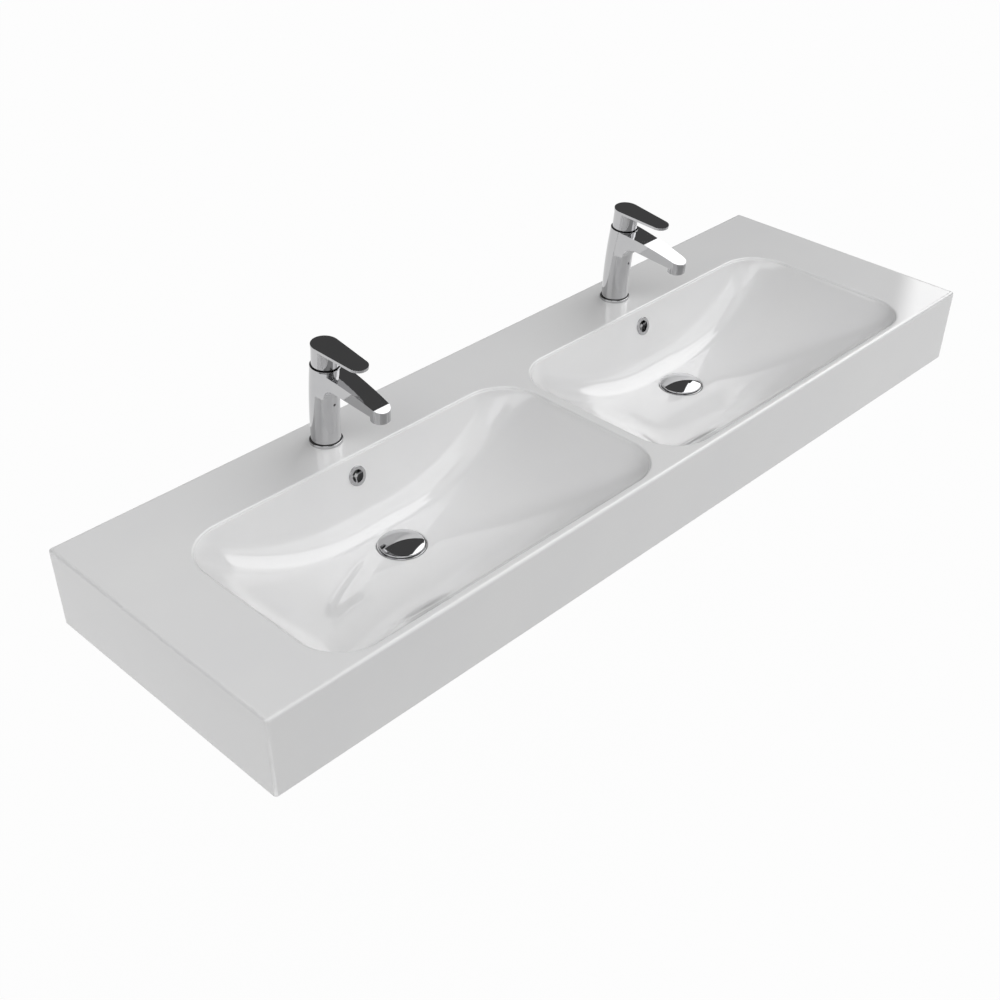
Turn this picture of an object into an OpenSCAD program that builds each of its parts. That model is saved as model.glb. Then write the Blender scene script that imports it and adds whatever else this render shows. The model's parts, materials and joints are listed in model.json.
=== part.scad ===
// Double washbasin: one glazed ceramic top with two bowls, each with a
// single-lever mixer tap, an overflow and a push-to-open waste.
// Millimetres. X runs along the wall, -Y towards the user, +Z up. The origin is
// on the wall face, midway along it, level with the wall fixing holes.

/* [Basin] */
// Width of the basin along the wall
basin_w = 1500; // [1400:10:1800]
// Depth of the basin from the wall
basin_d = 460; // [450:5:520]
// Height of the apron
basin_h = 125; // [115:1:160]
// Thickness of the apron and of the back wall
apron_t = 12; // [9:0.5:16]
// Thickness of the deck
deck_t = 14; // [11:0.5:18]
// Rounding of the outer edges
edge_r = 5; // [2:0.5:8]

/* [Bowls] */
// Length of a bowl at its rim
bowl_w = 625; // [560:5:660]
// Strip of deck behind the bowls, which carries the taps
back_strip = 114; // [108:1:134]
// Depth from the deck to the waste
bowl_depth = 107; // [95:1:112]
// Ceramic left between the two bowls
bowl_gap = 17.5; // [12:0.5:40]
// Strip of deck in front of the bowls
front_strip = 14; // [12:0.5:24]
// Corner radius of the rim, seen from above
rim_corner = 70; // [50:1:90]
// Rounding of the rim's edge
rim_r = 3; // [1:0.5:5]
// Wall of the bowl
bowl_t = 11; // [8:0.5:14]
// Lean of the steep back wall from the vertical
wall_lean = 16; // [12:1:22]
// Slope of the front wall from the horizontal
front_slope = 34.5; // [30:0.5:40]
// Steep lip above the long sweep of the floor
side_lip = 8; // [5:0.5:14]
// Steep lip above the front wall
front_lip = 6; // [4:0.5:10]

/* [Fixing to the wall] */
// Height of the fixing holes above the lower edge
fix_up = 75; // [60:1:85]
// Spacing of the two fixing holes behind each bowl
fix_pitch = 280; // [200:5:340]
// Diameter of a fixing hole
fix_d = 14; // [12:0.5:18]

/* [Waste] */
// Distance of the waste from the back rim
drain_back = 100; // [92:1:120]
// Diameter of the waste hole in the ceramic
drain_hole_d = 46; // [44:0.5:48]
// Diameter of the waste flange
flange_d = 73; // [68:0.5:76]
// Thickness of the waste flange
flange_t = 2.4; // [1.8:0.1:3]
// Diameter of the domed cap
cap_d = 68; // [62:0.5:68]
// Rise of the cap from its edge to its middle
cap_rise = 4.5; // [2:0.25:6]
// How far the cap springs up when it is pushed
cap_travel = 8; // [6:0.5:10]
// Outer diameter of the threaded tail, a G 1 1/4 thread
tail_d = 41.9; // [41:0.1:42.2]
// Wall of the tail
tail_t = 3.3; // [2.5:0.1:4]
// Length of the tail below the bowl floor
tail_len = 68; // [64:1:90]
// Ceramic thickness at the waste
boss_t = 30; // [28:1:36]

/* [Overflow] */
// Depth of the overflow's middle below the deck
over_down = 31; // [28:0.5:36]
// Diameter of the overflow hole
over_hole_d = 24; // [22:0.5:26]
// Diameter of the overflow ring
over_ring_d = 30; // [28:0.5:32]
// Height of the overflow channel where it meets the waste
channel_h = 10; // [8:0.5:11]
// Width of the overflow channel
channel_w = 30; // [26:1:34]

/* [Tap] */
// Diameter of the tap hole
tap_hole_d = 35; // [33:0.5:36]
// Diameter of the base ring
base_ring_d = 50; // [47:0.5:56]
// Height of the base ring
base_ring_h = 4.5; // [3:0.25:7]
// Diameter of the tap's column
column_d = 44.6; // [44.2:0.1:47]
// Height of the neck, where the lever's hub starts, above the deck
neck_h = 130; // [122:1:150]
// How far the neck reaches forward of the base
neck_out = 11.5; // [8:0.25:14]
// Forward lean of the cartridge and lever
lean = 5; // [2:0.5:8]
// Reach of the outlet in front of the base
reach = 124.5; // [112:1:145]
// Diameter of the spout's round end
spout_end_d = 29; // [28:0.5:34]
// Angle at which the top of the spout falls at its tip
tip_fall = 16.3; // [13:0.25:18]
// Height of the underside of the outlet above the deck
outlet_up = 89.5; // [84:0.5:94]

/* [Cartridge and lever] */
// Diameter of the ceramic cartridge
cart_d = 35; // [34:0.1:35.6]
// Diameter of the lever's hub
hub_d = 40.4; // [39:0.1:40.8]
// Gap between the hub and the neck's rim, along the axis
hub_gap = 2.2; // [1.6:0.1:3]
// Height of the lever's top face above the neck's rim
lever_h = 33.5; // [31:0.5:38]
// Thickness of the lever's plate
plate_t = 4; // [3:0.25:5]
// Distance from the hub's axis to the middle of the plate's round tip
plate_reach = 68.3; // [60:0.5:80]
// Diameter of the plate's round tip
plate_tip_d = 31; // [26:0.5:34]
// Most the lever lifts
lift_max = 25; // [15:1:25]
// Width across the lever's square stem
stem_w = 7; // [6:0.25:8]

/* [Fits] */
// Running clearance of a pin or shaft in its bore, on the radius
run_c = 0.05; // [0.02:0.01:0.1]
// Assembly clearance of a fixed piece in its seat, on the radius
seat_c = 0.1; // [0.05:0.01:0.2]
// Free clearance of a moving piece, on the radius
free_c = 0.3; // [0.2:0.05:0.4]

/* [Hidden] */

// Number of sides of an exact circle
$fn = 64;
// Overlap by which a cut runs past the face that it opens
over = 1;
LEFT = -1;
RIGHT = 1;

// Places on the basin
deck_z = basin_h - fix_up;
foot_z = -fix_up;
bowl_x = (bowl_w + bowl_gap) / 2;
bowl_d = basin_d - front_strip - back_strip;
rim_front_y = front_strip - basin_d;
rim_back_y = rim_front_y + bowl_d;
rim_mid_y = (rim_front_y + rim_back_y) / 2;
drain_y = rim_back_y - drain_back;
floor_z = deck_z - bowl_depth;

// Bowl surfaces: a steep wall inside the rim, a long sweep along X, a slope in front
wall_fall = 1 / tan(wall_lean);
front_fall = tan(front_slope);
// Recess of the flange: its clearance in plan and the thickness of its seal
flange_c = 0.7;
flange_seal_t = 1;
seat_depth = flange_t - 0.4 + flange_seal_t;
flat_r = flange_d / 2 + flange_c + 2.8;
sweep_run = bowl_w / 2 - flat_r;
sweep_rise = bowl_depth - side_lip;
sweep_r = (sweep_run * sweep_run + sweep_rise * sweep_rise) / (2 * sweep_rise);
// How far two surfaces melt together, as a share of their depth
melt_wall = 0.6;
melt_front = 0.5;
// Steps of the bowl's rings, from the rim (0) to the waste (1)
INNER_STEPS = [0, 0.01, 0.035, 0.075, 0.125, 0.185, 0.255, 0.335, 0.43, 0.54, 0.66, 0.79, 0.9, 1];
OUTER_STEPS = [0, 0.06, 0.16, 0.28, 0.43, 0.62, 0.82, 1];

// Overflow: the channel drops behind the bowl and runs forward under it
over_z = deck_z - over_down;
over_y = rim_back_y - over_down / wall_fall;
channel_roof = 9;
channel_z = floor_z - channel_roof;
channel_wall = 9;
channel_back_y = rim_back_y + 16;
channel_front_y = rim_back_y + 2;
boss_z = floor_z - boss_t;
boss_r = drain_hole_d / 2 + 21;

// Tap, which stands in the middle of the strip behind the bowls
tap_back = back_strip / 2;
seal_t = 1.5;
body_z = base_ring_h + seal_t;
column_r = column_d / 2;
arc_r = (neck_h * neck_h + neck_out * neck_out) / (2 * neck_out);
end_r = spout_end_d / 2;
root_s = neck_out + 8.5;
tip_s = reach + end_r;
top_arc_r = (tip_s - root_s) / (sin(tip_fall) - sin(lean));
// The top of the spout lies a step below the rim of the neck
top_step = 0.6;
top_z0 = neck_h - top_step - (root_s - neck_out) * tan(lean);
under_slope = 0.114;
under_z0 = outlet_up + 7.7 + under_slope * (reach - root_s);
armpit_r = 19;
stud_s = -9;
inlet_s = 4;
inlet_x = 7.5;
inlet_r = 4.6;
inlet_len = 12;
// The ways up to the cartridge leave the inlets a little nearer the middle of the tap
way_in = 1;
stud_r = 4;
nut_len = 18;
gasket_t = 3;
washer_t = 2.5;
washer_r = tap_hole_d / 2 + 6.5;
stud_up = 18;
stud_down = deck_t + gasket_t + washer_t + nut_len + 10;
aerator_r = 11.5;
aerator_len = 11;
aerator_lip = 1.5;
dot_r = 2;
dot_up = 70;
dot_deep = 3;

// Cartridge, measured along its own axis from the rim of the neck
groove_r = hub_d / 2 + 0.7;
groove_deep = 9;
gap_ring_t = 1;
nut_top = -(groove_deep - gap_ring_t) - 0.5;
cart_nut_h = 5.5;
cart_top = nut_top - cart_nut_h;
cart_nut_r = groove_r - 1.7;
cart_r = cart_d / 2 - seat_c;
cart_wall = 1.9;
cavity_r = cart_r - cart_wall;
collar_wall = 1.75;
neck_r = 11.5;
collar_r = neck_r + run_c + collar_wall;
cart_roof = 2.5;
disc_t = 3.8;
control_t = 4;
turret_flange_t = 2.2;
cart_floor_t = 4.8;
turret_bottom = cart_top - cart_roof - free_c - turret_flange_t;
control_top = turret_bottom - free_c;
port_top = control_top - control_t;
cart_floor = port_top - disc_t;
cart_bottom = cart_floor - cart_floor_t;
// The eye of the moving disc uncovers the two inlets, which lie in front of the axis
port_r = 2.2;
port_x = 3.9;
port_front = 4.6;
eye_r = 4.6;
window_w = 8;
// Annular well in the tap around the cartridge's windows, and the way on to the outlet
well_r = cart_r + 1.8;
well_low = port_top - 1;
well_top = cart_top - 1.5;
passage_r = 4.5;
passage_down = 12;
passage_end = 16;
// The stem turns on a cross pin in the turret and its ball moves the control disc
pivot_w = 3;
arm_len = 14;
ball_r = 2.6;
arm_r = 1.8;
pin_r = 2;
turret_top = 5;
post_w = 8.4;
slot_c = 0.25;
stem_top = 20;
socket_deep = 8;
boss_low = 12;
hub_wall = 2.9;
hub_roof = plate_t + 3.5;
lip = 0.5;
screw_w = 16;
screw_r = 2.5;
plug_r = 3.2;
disc_shift = arm_len * lift_max * PI / 360;
post_top = pivot_w - arm_len + 1.6;
control_r = cavity_r - disc_shift - 0.5;

// Waste, measured from the bowl floor downwards
tail_r = tail_d / 2;
tail_bore = tail_r - tail_t;
cap_gap = 1;
cap_edge = 2.2;
seat_r = cap_d / 2 - 4;
seat_sink = 1.2;
cap_seal_r = 27.5;
cap_seal_in = 22.5;
flange_top = 0.4;
spider_z = -24;
spider_h = 6;
spider_r = 11;
popup_r = 8.5;
popup_top = -19;
popup_len = 28;
popup_bore = 6.3;
shaft_r = 3.5;
shaft_collar_r = 5.9;
shaft_collar_z = -32;
boss_seal_t = 4;
waste_nut_h = 10;
waste_nut_r = 31;
relief_w = 1.5;

// Points of an arc about c, from angle a to angle b
function arc(c, r, a, b, n) = [for (i = [0:n]) let (t = a + (b - a) * i / n) [c[0] + r * cos(t), c[1] + r * sin(t)]];

// The higher of two heights, melted together over the distance k
function melt(a, b, k) = let (h = max(k - abs(a - b), 0) / k) max(a, b) + h * h * k / 4;

// Height of the bowl below the deck at x, y, where in_d is the distance inside the rim
function sweep(x) = let (u = min(max(abs(x) - flat_r, 0), sweep_run)) sweep_r - sqrt(sweep_r * sweep_r - u * u) - bowl_depth;
function slope(y) = -front_lip - front_fall * max(y - rim_front_y, 0);
function hollow(x, y) = let (a = sweep(x), b = slope(y)) melt(a, b, melt_front * min(-a, -b));
function bowl_height(x, y, in_d) = let (h = hollow(x, y)) melt(h, -wall_fall * max(in_d, 0), -melt_wall * h);

// Rounded rectangle of the rim, grown by g: x and y about the bowl's middle
function rim_outline(g, arc_n, long_n, short_n) = let (
    hx = bowl_w / 2 + g, hy = bowl_d / 2 + g, r = rim_corner + g, sx = hx - r, sy = hy - r,
    right = [for (i = [1:short_n - 1]) [hx, -sy + 2 * sy * i / short_n]],
    back = [for (i = [1:long_n - 1]) [sx - 2 * sx * i / long_n, hy]],
    left = [for (i = [1:short_n - 1]) [-hx, sy - 2 * sy * i / short_n]],
    front = [for (i = [1:long_n - 1]) [-sx + 2 * sx * i / long_n, -hy]])
    concat(right, arc([sx, sy], r, 0, 90, arc_n), back, arc([-sx, sy], r, 90, 180, arc_n),
        left, arc([-sx, -sy], r, 180, 270, arc_n), front, arc([sx, -sy], r, 270, 360, arc_n));

// Distance of a point inside the rim's outline, about the bowl's middle
function inside(x, y) = let (
    qx = abs(x) - (bowl_w / 2 - rim_corner), qy = abs(y) - (bowl_d / 2 - rim_corner))
    qx > 0 && qy > 0 ? rim_corner - norm([qx, qy]) : rim_corner - max(qx, qy);

// One ring of the bowl, a share e of the way from the rim to the waste
function drain_point(p, dy) = let (q = [p[0], p[1] - dy]) flat_r * q / norm(q);
function ring_point(p, e, dy) = let (d = drain_point(p, dy)) [p[0] + (d[0] - p[0]) * e, p[1] + (d[1] + dy - p[1]) * e];
function surface_ring(base, e, sink) = let (dy = drain_y - rim_mid_y)
    [for (p = base) let (q = ring_point(p, e, dy))
        [q[0], q[1], (e == 1 ? -bowl_depth : bowl_height(q[0], q[1] + rim_mid_y, inside(q[0], q[1]))) - sink]];

// Faces between n rings of m points, closed at both ends by a fan about a middle point
function loft_faces(n, m) = concat(
    [for (j = [0:m - 1]) [n * m, (j + 1) % m, j]],
    [for (i = [0:n - 2], j = [0:m - 1]) let (a = i * m + j, b = i * m + (j + 1) % m) [a, b, b + m]],
    [for (i = [0:n - 2], j = [0:m - 1]) let (a = i * m + j, b = i * m + (j + 1) % m) [a, b + m, a + m]],
    [for (j = [0:m - 1]) [(n - 1) * m + j, (n - 1) * m + (j + 1) % m, n * m + 1]]);

// Solid through the rings, whose first and last ones are level
module loft(rings) {
    n = len(rings);
    first = [0, drain_y - rim_mid_y, rings[0][0][2]];
    last = [0, drain_y - rim_mid_y, rings[n - 1][0][2]];
    polyhedron(concat([for (r = rings, p = r) p], [first, last]), loft_faces(n, len(rings[0])), convexity = 4);
}

module at_bowl(side) {
    translate([side * bowl_x, rim_mid_y, deck_z]) children();
}

module at_drain(side) {
    translate([side * bowl_x, drain_y, floor_z]) children();
}

module at_tap(side) {
    translate([side * bowl_x, -tap_back, deck_z]) children();
}

// Along the cartridge's axis, with its origin in the plane of the neck's rim
module at_neck(side) {
    at_tap(side) translate([0, -neck_out, neck_h]) rotate([lean, 0, 0]) children();
}

// On the bowl's back wall, +Z out of the wall into the bowl
module at_overflow(side) {
    translate([side * bowl_x, over_y, over_z]) rotate([90 - wall_lean, 0, 0]) children();
}

// Ring of outer radius ro and inner radius ri, from z up by h
module ring(ro, ri, z, h) {
    translate([0, 0, z]) difference() {
        cylinder(r = ro, h = h);
        translate([0, 0, -over]) cylinder(r = ri, h = h + 2 * over);
    }
}

// Cylinder with its upper edge rounded by e
module pebble(r, z, h, e) {
    translate([0, 0, z]) rotate_extrude() polygon(concat([[0, 0], [r, 0]], arc([r - e, h - e], e, 0, 90, 6), [[0, h]]));
}

// Hollow of a bowl, with its rounded rim and flat seat
module bowl_hollow() {
    n = len(INNER_STEPS);
    base = rim_outline(0, 8, 14, 7);
    lips = [for (a = [0, 45]) [for (p = rim_outline(rim_r * (1 - sin(a)), 8, 14, 7)) [p[0], p[1], -rim_r * (1 - cos(a))]]];
    top = [for (p = lips[0]) [p[0], p[1], over]];
    rim = [for (p = base) [p[0], p[1], -rim_r]];
    rings = [for (i = [1:n - 1]) surface_ring(base, INNER_STEPS[i], 0)];
    settled = [for (r = rings) [for (p = r) [p[0], p[1], min(p[2], -rim_r)]]];
    loft(concat([top, lips[0], lips[1], rim], settled));
}

// Outside of a bowl, its wall thicker than the hollow
module bowl_skin() {
    base = rim_outline(0, 4, 6, 4);
    grown = rim_outline(bowl_t, 4, 6, 4);
    m = len(base);
    rings = [for (e = OUTER_STEPS) let (r = surface_ring(base, e, bowl_t))
        [for (j = [0:m - 1]) let (g = grown[j] - base[j], k = 1 - e) [r[j][0] + g[0] * k, r[j][1] + g[1] * k, r[j][2]]]];
    top = [for (p = grown) [p[0], p[1], -deck_t / 2]];
    loft(concat([top], rings));
}

// Outer block with rounded edges: the same box seen from above, the side and the front
module round_box(size, r) {
    hull() for (x = [r, size[0] - r], y = [r, size[1] - r]) translate([x, y]) circle(r = r, $fn = 24);
}

module block() {
    tall = basin_h + 2 * edge_r;
    intersection() {
        translate([-basin_w / 2, -basin_d, foot_z]) linear_extrude(basin_h) round_box([basin_w, basin_d], edge_r);
        translate([-basin_w / 2 - over, -basin_d, deck_z - tall]) rotate([90, 0, 90])
            linear_extrude(basin_w + 2 * over) round_box([basin_d, tall], edge_r - 0.5);
        translate([-basin_w / 2, over, deck_z - tall]) rotate([90, 0, 0])
            linear_extrude(basin_d + 2 * over) round_box([basin_w, tall], edge_r - 1);
    }
}

// Duct that carries the overflow channel down the back of the bowl
module duct(y_back, y_front, top, low, roof, width) {
    turn = y_back - 6;
    rotate([90, 0, 90]) translate([0, 0, -width / 2]) linear_extrude(width)
        polygon([[y_back, top], [y_back, low + 34], [turn, low + 26], [turn - 44, low],
            [drain_y, low], [drain_y, roof], [turn - 50, roof], [y_front - 4, low + 42], [y_front, top]]);
}

module basin() {
    color("white") difference() {
        union() {
            difference() {
                block();
                translate([-basin_w / 2 + apron_t, -basin_d + apron_t, foot_z - over])
                    cube([basin_w - 2 * apron_t, basin_d - 2 * apron_t, basin_h - deck_t + over]);
            }
            for (side = [LEFT, RIGHT]) {
                at_bowl(side) bowl_skin();
                at_drain(side) translate([0, 0, -boss_t]) cylinder(r = boss_r, h = boss_t - 4);
                translate([side * bowl_x, 0, 0]) duct(channel_back_y + channel_wall, channel_front_y - 14,
                    deck_z - deck_t / 2, boss_z + 2, floor_z - 5, channel_w + 2 * channel_wall);
                for (x = [-1, 1]) translate([side * bowl_x + x * fix_pitch / 2, -apron_t - 8, 0])
                    rotate([-90, 0, 0]) cylinder(r = fix_d + 6, h = 8 + apron_t / 2);
            }
        }
        for (side = [LEFT, RIGHT]) {
            at_bowl(side) bowl_hollow();
            at_drain(side) {
                translate([0, 0, -seat_depth]) cylinder(r = flange_d / 2 + flange_c, h = seat_depth + over);
                translate([0, 0, -boss_t - over]) cylinder(r = drain_hole_d / 2, h = boss_t);
            }
            at_tap(side) translate([0, 0, -deck_t - over]) cylinder(r = tap_hole_d / 2, h = deck_t + 2 * over);
            at_overflow(side) translate([0, 0, -18]) cylinder(r = over_hole_d / 2, h = 18 + 4 * over);
            translate([side * bowl_x, 0, 0]) duct(channel_back_y, channel_front_y,
                over_z + 14, channel_z - channel_h, channel_z, channel_w);
            for (x = [-1, 1]) translate([side * bowl_x + x * fix_pitch / 2, -apron_t - 8 - over, 0])
                rotate([-90, 0, 0]) cylinder(r = fix_d / 2, h = apron_t + 8 + 2 * over);
        }
    }
}

// Side view of the spout: s forward, z up
function spout_profile() = let (
    top_c = [root_s - top_arc_r * sin(lean), top_z0 - top_arc_r * cos(lean)],
    wall_s = column_r + neck_out * 0.45,
    turn = atan(under_slope),
    pit_s = wall_s + armpit_r,
    pit = [pit_s, under_z0 - under_slope * (pit_s - root_s) - armpit_r / cos(turn)],
    back_s = neck_out - 4)
    concat([[back_s, top_z0 + (root_s - back_s) * tan(lean)]],
        arc(top_c, top_arc_r, 90 - lean, 90 - tip_fall, 10),
        [[tip_s + 2, top_c[1] + top_arc_r * cos(tip_fall) - 2 * tan(tip_fall)],
            [tip_s + 2, under_z0 - under_slope * (tip_s + 2 - root_s)]],
        arc(pit, armpit_r, 90 - turn, 180, 8), [[back_s, pit[1]]]);

module spout() {
    intersection() {
        translate([column_r, 0, 0]) rotate([90, 0, -90]) linear_extrude(2 * column_r) polygon(spout_profile());
        linear_extrude(neck_h + 20) hull() {
            translate([0, -neck_out]) circle(r = column_r - 0.6);
            translate([0, -reach]) circle(r = end_r);
        }
    }
}

// Column of the tap: its middle line is an arc that leaves the base upright
module column() {
    difference() {
        translate([0, -arc_r, 0]) rotate([90, 0, 90])
            rotate_extrude(angle = 1.15 * asin(neck_h / arc_r)) translate([arc_r, 0]) circle(r = column_r);
        translate([-2 * column_r, -2 * column_r, -over]) cube([4 * column_r, 4 * column_r, body_z + over]);
        translate([0, -neck_out, neck_h]) rotate([lean, 0, 0])
            translate([-2 * column_r, -2 * column_r, 0]) cube([4 * column_r, 4 * column_r, 60]);
    }
}

// Straight drilling of radius r from p to q
module drill(p, q, r) {
    d = q - p;
    translate(p) rotate([0, acos(d[2] / norm(d)), atan2(d[1], d[0])]) cylinder(r = r, h = norm(d));
}

// Stepped seat of the cartridge, its nut and the lever's hub, about the neck's axis
module neck_seat() {
    seat_r = cart_r + seat_c;
    thread_r = cart_nut_r + seat_c;
    rotate_extrude() polygon([[0, cart_bottom], [seat_r, cart_bottom], [seat_r, well_low], [well_r, well_low],
        [well_r, well_top], [seat_r, well_top], [seat_r, cart_top], [thread_r, cart_top],
        [thread_r, -groove_deep], [groove_r, -groove_deep], [groove_r, over], [0, over]]);
}

module tap_body(side) {
    ways = [port_x, -neck_out - sin(lean) * cart_bottom - port_front, neck_h + cart_bottom + 2];
    color("silver") at_tap(side) difference() {
        union() {
            column();
            spout();
            translate([0, -reach, outlet_up]) cylinder(r = end_r - 0.3, h = 12);
        }
        translate([0, -neck_out, neck_h]) rotate([lean, 0, 0]) neck_seat();
        for (m = [0, 1]) mirror([m, 0, 0]) {
            translate([inlet_x, -inlet_s, body_z - over]) cylinder(r = inlet_r, h = inlet_len + over);
            drill([inlet_x - way_in, -inlet_s, body_z + inlet_len / 2], ways, port_r);
        }
        translate([0, -stud_s, body_z - over]) cylinder(r = stud_r, h = stud_up + over);
        drill([0, -root_s - 2, top_z0 - passage_down], [0, -reach + 6, outlet_up + passage_end], passage_r);
        translate([0, -reach, outlet_up - over]) cylinder(r = aerator_r, h = aerator_len + over);
        translate([0, -reach, outlet_up + aerator_len - over]) cylinder(r = aerator_r - 3.5, h = 6);
        translate([0, -dot_surface(), dot_up]) rotate([90, 0, 0]) cylinder(r = dot_r + seat_c, h = 2 * dot_deep, center = true);
    }
}

// Front of the column at the height of the index dot
function dot_surface() = arc_r - sqrt(arc_r * arc_r - dot_up * dot_up) + column_r;

module index_dot(side) {
    color("dimgray") at_tap(side) translate([0, -dot_surface() + dot_deep, dot_up]) rotate([90, 0, 0]) pebble(dot_r, 0, dot_deep + 0.4, 0.4);
}

module base_ring(side) {
    color("silver") at_tap(side) difference() {
        pebble(base_ring_d / 2, 0, base_ring_h, 1);
        translate([0, 0, -over]) cylinder(r = tap_hole_d / 2 - 1.5, h = base_ring_h + 2 * over);
    }
}

module base_seal(side) {
    color("black") at_tap(side) ring(column_r + 0.7, tap_hole_d / 2, base_ring_h, seal_t);
}

module aerator(side) {
    color("silver") at_tap(side) translate([0, -reach, outlet_up]) difference() {
        union() {
            cylinder(r = aerator_r - seat_c, h = aerator_len - 2);
            translate([0, 0, -aerator_lip]) cylinder(r = aerator_r + 1, h = aerator_lip);
        }
        translate([0, 0, -aerator_lip - over]) cylinder(r = aerator_r - 2.4, h = aerator_len + 4);
        for (a = [0, 180]) rotate([0, 0, a]) translate([aerator_r - 0.6, -1.5, -aerator_lip - over]) cube([3, 3, over + 0.9]);
    }
}

module aerator_screen(side) {
    r = aerator_r - 2.4 - seat_c;
    color("gainsboro") at_tap(side) translate([0, -reach, outlet_up + 1]) difference() {
        cylinder(r = r, h = 3);
        for (k = [1, 2], i = [0:6 * k - 1]) rotate([0, 0, 60 * i / k]) translate([r * k / 2.6, 0, -over]) cylinder(r = 0.9, h = 3 + 2 * over, $fn = 16);
        translate([0, 0, -over]) cylinder(r = 0.9, h = 3 + 2 * over, $fn = 16);
    }
}

module cartridge_housing(side) {
    color("lightgray") at_neck(side) difference() {
        union() {
            translate([0, 0, cart_bottom]) cylinder(r = cart_r, h = cart_top - cart_bottom);
            cylinder_between(collar_r, cart_top - over, nut_top);
        }
        cylinder_between(cavity_r, cart_floor, cart_top - cart_roof);
        cylinder_between(neck_r + run_c, cart_floor, nut_top + over);
        ports(cart_bottom - over, cart_floor + over);
        for (a = [30:60:330]) rotate([0, 0, a]) translate([cavity_r - 1, -window_w / 2, port_top + 0.4])
            cube([cart_wall + 2, window_w, control_t - 0.4]);
    }
}

module cylinder_between(r, z0, z1) {
    translate([0, 0, z0]) cylinder(r = r, h = z1 - z0);
}

// The two inlets through the cartridge's floor and its fixed disc
module ports(z0, z1) {
    for (x = [-1, 1]) translate([x * port_x, -port_front, 0]) cylinder_between(port_r, z0, z1);
}

module port_disc(side) {
    color("ivory") at_neck(side) difference() {
        cylinder_between(cavity_r - seat_c, cart_floor, port_top);
        ports(cart_floor - over, port_top + over);
    }
}

// Moving ceramic disc and its carrier: water rises through the disc's eye and leaves
// by the grooves beside the post, which takes the ball of the stem
module control_disc(side) {
    post_x = post_w / 2 - slot_c;
    color("ivory") at_neck(side) difference() {
        union() {
            translate([0, disc_shift, 0]) cylinder_between(control_r, port_top, control_top);
            translate([-post_x, -post_w / 2, control_top - over]) cube([2 * post_x, post_w, post_top - control_top + over]);
        }
        translate([0, disc_shift, 0]) cylinder_between(eye_r, port_top - over, port_top + control_t / 2);
        translate([-control_r - over, disc_shift - 1.5, port_top + control_t / 4]) cube([2 * control_r + 2 * over, 3, control_t / 4]);
        cylinder_between(ball_r + 0.4, pivot_w - arm_len - ball_r - 0.6, post_top + over);
    }
}

module cartridge_turret(side) {
    stem_swing = sin(lift_max) * (stem_top - pivot_w);
    slot_back = max(post_w / 2 + 1, min(stem_w / 2 + stem_swing, neck_r - 2.5));
    slot_front = post_w / 2 + 2 * disc_shift + 1;
    color("darkgray") at_neck(side) difference() {
        union() {
            cylinder_between(cavity_r - free_c, turret_bottom, turret_bottom + turret_flange_t);
            cylinder_between(neck_r, turret_bottom + over, turret_top);
        }
        translate([-post_w / 2, -slot_back, turret_bottom - over]) cube([post_w, 2 * slot_back, turret_top - turret_bottom + 2 * over]);
        translate([-post_w / 2, -slot_front, turret_bottom - over]) cube([post_w, slot_front, post_top + 1 - turret_bottom + over]);
        translate([0, 0, pivot_w]) rotate([0, 90, 0]) cylinder(r = pin_r + run_c, h = 3 * neck_r, center = true);
    }
}

module lever_stem(side) {
    color("silver") at_neck(side) {
        translate([-stem_w / 2, -stem_w / 2, pivot_w - 6]) cube([stem_w, stem_w, stem_top - pivot_w + 6]);
        translate([0, 0, pivot_w]) rotate([0, 90, 0]) cylinder(r = pin_r, h = 2 * (neck_r - 1.2), center = true);
        cylinder_between(arm_r, pivot_w - arm_len, pivot_w - 5);
        translate([0, 0, pivot_w - arm_len]) sphere(r = ball_r);
    }
}

module cartridge_nut(side) {
    color("goldenrod") at_neck(side) difference() {
        cylinder_between(cart_nut_r, cart_top, nut_top);
        cylinder_between(collar_r + seat_c, cart_top - over, nut_top + over);
        for (a = [0:60:300]) rotate([0, 0, a]) translate([cart_nut_r - 1, 0, 0]) cylinder_between(2, nut_top - 3, nut_top + over);
    }
}

module gap_ring(side) {
    color("black") at_neck(side) ring(groove_r - seat_c, neck_r + 1.2, nut_top, gap_ring_t);
}

module lever(side) {
    color("silver") at_neck(side) difference() {
        union() {
            cylinder_between(hub_d / 2, hub_gap, lever_h - plate_t / 2);
            translate([0, 0, lever_h - plate_t]) linear_extrude(plate_t) hull() {
                circle(r = hub_d / 2 + lip);
                translate([0, -plate_reach]) circle(r = plate_tip_d / 2);
            }
        }
        difference() {
            cylinder_between(hub_d / 2 - hub_wall, hub_gap - over, lever_h - hub_roof);
            cylinder_between(stem_w, boss_low, lever_h);
        }
        translate([-stem_w / 2 - seat_c, -stem_w / 2 - seat_c, boss_low - over])
            cube([stem_w + 2 * seat_c, stem_w + 2 * seat_c, stem_top - boss_low + over]);
        translate([0, 0, screw_w]) rotate([-90, 0, 0]) {
            cylinder(r = screw_r, h = hub_d);
            translate([0, 0, hub_d / 2 - hub_wall - 0.2]) cylinder(r = plug_r, h = hub_wall + 2);
        }
    }
}

module lever_screw(side) {
    color("dimgray") at_neck(side) translate([0, 0, screw_w]) rotate([-90, 0, 0]) difference() {
        translate([0, 0, stem_w / 2]) cylinder(r = screw_r - seat_c / 2, h = 6);
        translate([0, 0, stem_w / 2 + 3.5]) cylinder(r = 1.4, h = 4, $fn = 6);
    }
}

module lever_plug(side) {
    color("silver") at_neck(side) translate([0, 0, screw_w]) rotate([-90, 0, 0])
        pebble(plug_r - seat_c, hub_d / 2 - hub_wall, hub_wall + 0.1, 0.4);
}

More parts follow.
